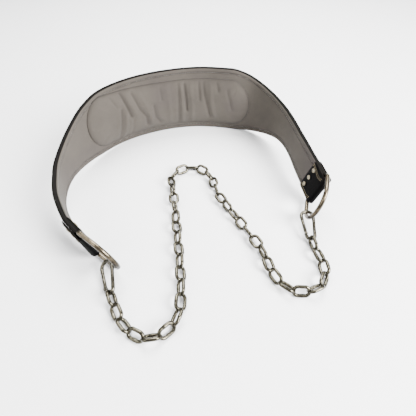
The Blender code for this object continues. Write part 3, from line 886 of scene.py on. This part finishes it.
head_seat = LOOP_GAP + LOOP_LEAF - HEAD_SINK
bpy.ops.mesh.primitive_cylinder_add(
    vertices=RIVET_SIDES, radius=RIVET_SHANK / 2, depth=2 * head_seat
)
rivet = bpy.context.object
rivet.name = "rivet"
for facing in (1, -1):
    bpy.ops.mesh.primitive_cylinder_add(
        vertices=RIVET_SIDES, radius=RIVET_HEAD / 2, depth=RIVET_DOME,
        location=(0, 0, facing * (head_seat + RIVET_DOME / 2)),
        rotation=(0 if facing > 0 else math.pi, 0, 0),
    )
    head = bpy.context.object
    bpy.ops.object.mode_set(mode="EDIT")
    bpy.ops.mesh.select_mode(type="FACE")
    bpy.ops.mesh.select_all(action="DESELECT")
    bpy.ops.object.mode_set(mode="OBJECT")
    for face in head.data.polygons:
        face.select = face.normal.z > FACES_UP
    bpy.ops.object.mode_set(mode="EDIT")
    bpy.ops.mesh.bevel(
        offset=RIVET_DOME * DOME_ROUND, segments=DOME_SEGMENTS, affect="EDGES"
    )
    bpy.ops.object.mode_set(mode="OBJECT")
    for face in head.data.polygons:
        face.select = face.normal.z > FLAT_TOP and face.center.z > 0
    bpy.ops.object.mode_set(mode="EDIT")
    bpy.ops.mesh.inset(thickness=HEAD_RIM)
    bpy.ops.mesh.extrude_region_move(
        TRANSFORM_OT_translate={"value": (0, 0, -facing * HEAD_STRUCK)}
    )
    bpy.ops.transform.resize(value=(STRUCK_TAPER, STRUCK_TAPER, 1))
    bpy.ops.object.mode_set(mode="OBJECT")
    head.select_set(True)
    rivet.select_set(True)
    bpy.context.view_layer.objects.active = rivet
    bpy.ops.object.join()
bpy.ops.object.transform_apply(location=True, rotation=True, scale=True)
bpy.ops.object.shade_smooth_by_angle(angle=math.radians(35))
for end_name, side in (("left", -1), ("right", 1)):
    for number in (1, 2, 3):
        copy = bpy.data.objects.new(f"{end_name}_brass_rivet_{number}", rivet.data.copy())
        bpy.context.scene.collection.objects.link(copy)
        up = (number - 2) * RIVET_SPACING * side
        to_place = Matrix.Translation((RIVET_PLACE, 0, up)) @ Matrix.Rotation(
            math.pi / 2, 4, "X"
        )
        place(copy, end_matrix(side) @ to_place)
        hand_over(copy, brass, nodes=[f"{end_name}_rivet_{number}"])
bpy.data.objects.remove(rivet)


# D-rings: round steel wire bent to a D, welded and nickel plated. The straight bar lies in the
# loop's fold, and the bow hangs free.
RING_WIRE = 7.5 * MM
RING_LEG = 30 * MM
RING_CORNER = 6 * MM
RING_BOW = 35.35 * MM
RING_WELD_HALF = 0.6 * MM
BOW_STEPS = 48
CORNER_STEPS = 8
# How fast the painted shade grows as faces turn from straight up towards the sides and the
# underside
UNDERSIDE_SHADE_FADE = 1.35
# Where each ring's bar is in millimetres, the way that the ring reaches, and the way up its bar
RING_FRAMES = {
    "left": ((-160.64, -125.15, 43.33), (0.8124, -0.5755, -0.0938),
             (-0.0211, -0.1897, 0.9816)),
    "right": ((226.43, -4.16, 42.68), (-0.2811, -0.9596, 0.0073),
              (0.2413, -0.0633, 0.9684)),
}
NICKEL_BRIGHT = (0.17, 0.137, 0.094, 1)
NICKEL_DULL = (0.062, 0.05, 0.034, 1)
NICKEL_DARK = (0.012, 0.010, 0.008, 1)


def nickel(name, bright, dull, roughness):
    finish = Finish(name, {"Metallic": 1})
    haze = finish.steps(finish.noise(scale=130, detail=5, roughness=0.65), [(0.38, 0), (0.68, 1)])
    specks = finish.steps(finish.noise(scale=900, detail=3, roughness=0.7), [(0.62, 0), (0.72, 1)])
    colour = finish.mix(haze, bright, dull)
    colour = finish.mix(specks * 0.6, colour, NICKEL_DARK)
    # Painted shade: darker on the sides and the underside, darkest on faces turned down
    colour = finish.mix(finish.painted("tarnish") * 0.88, colour, NICKEL_DARK)
    finish.surface(
        colour, haze * 0.16 + roughness, haze + specks, strength=0.12, distance=0.0002
    )
    return finish


def paint_underside_shade(item):
    """Paints shade on the sides and the underside: the further a face turns from straight up, the
    darker it is.
    """
    normals = np.empty(len(item.data.vertices) * 3)
    item.data.vertices.foreach_get("normal", normals)
    paint(item, "tarnish", 1 - UNDERSIDE_SHADE_FADE * normals.reshape(-1, 3)[:, 2])


def arc(centre, radius, start, stop, segments):
    """Points round part of a circle, between two angles in degrees."""
    angles = np.radians(np.linspace(start, stop, segments + 1))
    return [(centre[0] + radius * math.cos(a), centre[1] + radius * math.sin(a))
            for a in angles]


def bend_wire(name, points, radii, closed):
    """A round wire laid flat through the points, turned into a mesh."""
    curve = bpy.data.curves.new(name, "CURVE")
    curve.dimensions = "3D"
    curve.bevel_depth = 1
    curve.bevel_resolution = 5
    curve.use_fill_caps = not closed
    line = curve.splines.new("POLY")
    line.points.add(len(points) - 1)
    line.use_cyclic_u = closed
    for knot, (x, y), radius in zip(line.points, points, radii):
        knot.co = (x, y, 0, 1)
        knot.radius = radius
    wire = bpy.data.objects.new(name, curve)
    bpy.context.scene.collection.objects.link(wire)
    wire.select_set(True)
    bpy.context.view_layer.objects.active = wire
    bpy.ops.object.convert(target="MESH")
    bpy.ops.object.mode_set(mode="EDIT")
    bpy.ops.mesh.select_all(action="SELECT")
    bpy.ops.mesh.remove_doubles(threshold=NEAR)
    bpy.ops.mesh.normals_make_consistent(inside=False)
    bpy.ops.object.mode_set(mode="OBJECT")
    bpy.ops.object.shade_smooth_by_angle(angle=math.radians(50))
    return wire


ring_finish = nickel("ring_nickel", NICKEL_BRIGHT, NICKEL_DULL, 0.2)
for end_name, (bar, reach, up_bar) in RING_FRAMES.items():
    line = arc((RING_LEG, 0), RING_BOW, -90, 90, BOW_STEPS)
    line += arc((RING_CORNER, RING_BOW - RING_CORNER), RING_CORNER, 90, 180, CORNER_STEPS)
    line += [(0, RING_WELD_HALF), (0, -RING_WELD_HALF)]
    line += arc((RING_CORNER, RING_CORNER - RING_BOW), RING_CORNER, 180, 270, CORNER_STEPS)
    radii = [RING_WIRE / 2] * len(line)
    ring = bend_wire(f"{end_name}_d_ring", line, radii, True)
    reach, up_bar = Vector(reach).normalized(), Vector(up_bar).normalized()
    place(ring, axes_at(Vector(bar) * MM, reach, up_bar))
    paint_underside_shade(ring)
    hand_over(ring, ring_finish, nodes=[f"{end_name}_ring"])


# Snap hooks: pear-shaped steel wire hooks. One hangs in each ring, with the chain's last link in
# its eye, and a sprung gate on a pin closes its left side.
HOOK_RISE = 36.5 * MM
HOOK_BOW = 10.5 * MM
HOOK_EYE = 7 * MM
HOOK_WIRE = 6 * MM
GATE_WIRE = 5.4 * MM
GATE_START = 0.10
GATE_END = 0.82
GATE_GAP = 0.4 * MM
HOOK_WAIST = 0.9
HOOK_SWELL = 0.1
TONGUE = 2.2 * MM
TONGUE_RADIUS = 0.42 * GATE_WIRE
BAR_SIDES = 24
BAR_EDGE = 0.3 * MM
CATCH_RADIUS = 0.9 * MM
CATCH_LENGTH = 1.06 * HOOK_WIRE
CATCH_IN = 1.6 * MM
BARREL_START = 0.45 * GATE_WIRE
BARREL_EDGE = 1 * MM
CHEEK = 1.4 * MM
CHEEK_GAP = 0.15 * MM
WEB_LENGTH = 0.8 * GATE_WIRE
WEB_EDGE = 0.2 * MM
PIN_RADIUS = 0.9 * MM
PIN_LENGTH = TONGUE + 2 * CHEEK + 1.2 * MM
PIN_AXIS = (0, 0, 1)
EYE_STEPS = 20
SHANK_STEPS = 8
TIP_STEPS = 28
HOOK_BRIGHT = (0.105, 0.096, 0.074, 1)
HOOK_DULL = (0.032, 0.029, 0.021, 1)
# Where each hook's eye is in millimetres, the way across the hook, and the way to its tip
HOOK_FRAMES = {
    "left": ((-119.34, -187.71, 10.98), (0.843, 0.1185, 0.5247), (-0.2227, 0.9648, 0.1399)),
    "right": ((203.97, -89.09, 11.28), (0.9945, -0.1045, 0), (0.1028, 0.978, 0.1818)),
}


def lerp(first, second, share):
    return first + (second - first) * share


bow_x = HOOK_EYE - HOOK_BOW
tilt = math.asin((HOOK_BOW - HOOK_EYE) / math.hypot(bow_x, HOOK_RISE))
tilt += math.atan2(-bow_x, HOOK_RISE)
side_normal = np.array([-math.cos(tilt), -math.sin(tilt)])
gate_low = side_normal * HOOK_EYE
gate_high = np.array([bow_x, HOOK_RISE]) + side_normal * HOOK_BOW
gate_way = (gate_high - gate_low) / np.linalg.norm(gate_high - gate_low)
pivot = lerp(gate_low, gate_high, GATE_START)
nose = lerp(gate_low, gate_high, GATE_END)
hook_line = [pivot - gate_way * (GATE_WIRE / 2 + GATE_GAP)]
hook_line += arc((0, 0), HOOK_EYE, 180 + math.degrees(tilt), 360, EYE_STEPS)
hook_line += [
    (HOOK_EYE, HOOK_RISE * step / SHANK_STEPS) for step in range(1, SHANK_STEPS)
]
hook_line += arc((bow_x, HOOK_RISE), HOOK_BOW, 0, 180 + math.degrees(tilt), TIP_STEPS)
hook_line += [nose + gate_way * GATE_GAP]
hook_finish = nickel("hook_nickel", HOOK_BRIGHT, HOOK_DULL, 0.18)
gate_length = float(np.linalg.norm(nose - pivot))


def round_bar(name, radius, length, middle, axis, edge):
    """A short turned bar with rounded ends, along an axis on the hook's own plane."""
    turn = Vector((0, 0, 1)).rotation_difference(Vector(axis)).to_euler()
    bpy.ops.mesh.primitive_cylinder_add(
        vertices=BAR_SIDES, radius=radius, depth=length, location=middle, rotation=turn
    )
    bar = bpy.context.object
    bar.name = name
    bpy.ops.object.transform_apply(location=True, rotation=True, scale=True)
    round_edges(bar, edge, 60)
    apply_all(bar)
    return bar


def join(pieces, name):
    """Makes one mesh of the pieces, under the first one's object."""
    bpy.ops.object.select_all(action="DESELECT")
    for piece in pieces:
        piece.select_set(True)
    bpy.context.view_layer.objects.active = pieces[0]
    bpy.ops.object.join()
    pieces[0].name = name
    bpy.ops.object.shade_smooth_by_angle(angle=math.radians(40))
    return pieces[0]


way = Vector((*gate_way, 0))
pivot_at, nose_at = Vector((*pivot, 0)), Vector((*nose, 0))
cheek_out = TONGUE / 2 + CHEEK / 2 + CHEEK_GAP
sides = [Vector((0, 0, facing * cheek_out)) for facing in (-1, 1)]
for end_name, (eye, across_hook, to_tip) in HOOK_FRAMES.items():
    across_hook, to_tip = Vector(across_hook).normalized(), Vector(to_tip).normalized()
    matrix = axes_at(Vector(eye) * MM, across_hook, to_tip)
    radii = [
        HOOK_WIRE / 2 * (HOOK_WAIST + HOOK_SWELL * abs(2 * min(1, max(0, y / HOOK_RISE)) - 1))
        for _, y in hook_line
    ]
    wire = bend_wire(f"{end_name}_wire", hook_line, radii, False)
    tongue = round_bar("tongue", TONGUE_RADIUS, TONGUE, pivot_at, PIN_AXIS, BAR_EDGE)
    neck = round_bar(
        "neck", TONGUE / 2, GATE_WIRE, pivot_at - way * GATE_WIRE / 2, way, BAR_EDGE
    )
    catch = round_bar(
        "catch", CATCH_RADIUS, CATCH_LENGTH, nose_at + way * CATCH_IN, PIN_AXIS, BAR_EDGE
    )
    hook = join([wire, tongue, neck, catch], f"{end_name}_snap_hook")
    place(hook, matrix)
    paint_underside_shade(hook)
    hand_over(hook, hook_finish, nodes=[f"{end_name}_hook"])

    barrel = round_bar(
        "barrel", GATE_WIRE / 2, gate_length - BARREL_START,
        pivot_at + way * (gate_length + BARREL_START) / 2, way, BARREL_EDGE,
    )
    cheeks = [
        round_bar("cheek", GATE_WIRE / 2, CHEEK, pivot_at + out, PIN_AXIS, BAR_EDGE)
        for out in sides
    ]
    webs = [
        round_bar("web", CHEEK / 2, WEB_LENGTH, pivot_at + way * WEB_LENGTH / 2 + out, way,
                  WEB_EDGE)
        for out in sides
    ]
    pin = round_bar("pin", PIN_RADIUS, PIN_LENGTH, pivot_at, PIN_AXIS, BAR_EDGE)
    gate = join([barrel, *cheeks, *webs, pin], f"{end_name}_spring_gate")
    place(gate, matrix)
    paint_underside_shade(gate)
    hand_over(gate, hook_finish, body=f"{end_name}_gate_arm",
              nodes=[f"{end_name}_gate"])


# Chain: forty-two welded steel links, plated in nickel that has dulled to an olive grey. The
# weld shows as a low collar on one straight side of each link.
LINK_COUNT = 42
LINK_WIRE = 5.5 * MM
LINK_HALF = 7.2 * MM
LINK_LENGTH = 29.4 * MM
WELD_WIDTH = 2.2 * MM
WELD_RISE = 0.12
WELD_CUTS = 9
RING_CUTS = 44
WIRE_SIDES = 14
# Corners closer than this many millimetres count as one
SAME_CORNER = 0.001
CHAIN_BRIGHT = (0.105, 0.096, 0.070, 1)
CHAIN_DULL = (0.040, 0.036, 0.026, 1)

link_finish = nickel("chain_nickel", CHAIN_BRIGHT, CHAIN_DULL, 0.18)
bpy.ops.mesh.primitive_torus_add(
    major_segments=RING_CUTS, minor_segments=WIRE_SIDES,
    major_radius=LINK_HALF, minor_radius=LINK_WIRE / 2,
)
link = bpy.context.object
shape = read_points(link)
straight = LINK_LENGTH / 2 - LINK_HALF - LINK_WIRE / 2
shape[:, 0] += np.sign(np.round(shape[:, 0], 6)) * straight
write_points(link, shape)
bpy.ops.object.mode_set(mode="EDIT")
bpy.ops.mesh.select_mode(type="EDGE")
bpy.ops.mesh.select_all(action="DESELECT")
bpy.ops.object.mode_set(mode="OBJECT")
for edge in link.data.edges:
    first, second = (link.data.vertices[corner].co for corner in edge.vertices)
    edge.select = first.x * second.x < 0 and abs(first.x - second.x) > straight
bpy.ops.object.mode_set(mode="EDIT")
bpy.ops.mesh.subdivide(number_cuts=WELD_CUTS)
bpy.ops.object.mode_set(mode="OBJECT")
shape = read_points(link)
collar = WELD_RISE * np.exp(-((shape[:, 0] / WELD_WIDTH) ** 2)) * (shape[:, 1] > 0)
core = np.stack([shape[:, 0], np.full(len(shape), LINK_HALF), 0 * shape[:, 0]], axis=1)
shape += (shape - core) * collar[:, None]
write_points(link, shape)
bpy.ops.object.shade_smooth()

for number in range(1, LINK_COUNT + 1):
    node_name = f"link_{number:02d}"
    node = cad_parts[node_name]
    corners = np.round(read_points(node) / (SAME_CORNER * MM))
    corners = np.unique(corners, axis=0) * SAME_CORNER * MM
    middle = corners.mean(axis=0)
    axes = np.linalg.svd(corners - middle, full_matrices=False)[2]
    long_axis, side_axis = Vector(axes[0]), Vector(axes[1])
    if number % 2:
        side_axis.negate()
    copy = bpy.data.objects.new(f"chain_link_{number:02d}", link.data.copy())
    bpy.context.scene.collection.objects.link(copy)
    place(copy, axes_at(Vector(middle), long_axis, side_axis))
    paint_underside_shade(copy)
    hand_over(copy, link_finish, nodes=[node_name])
bpy.data.objects.remove(link)
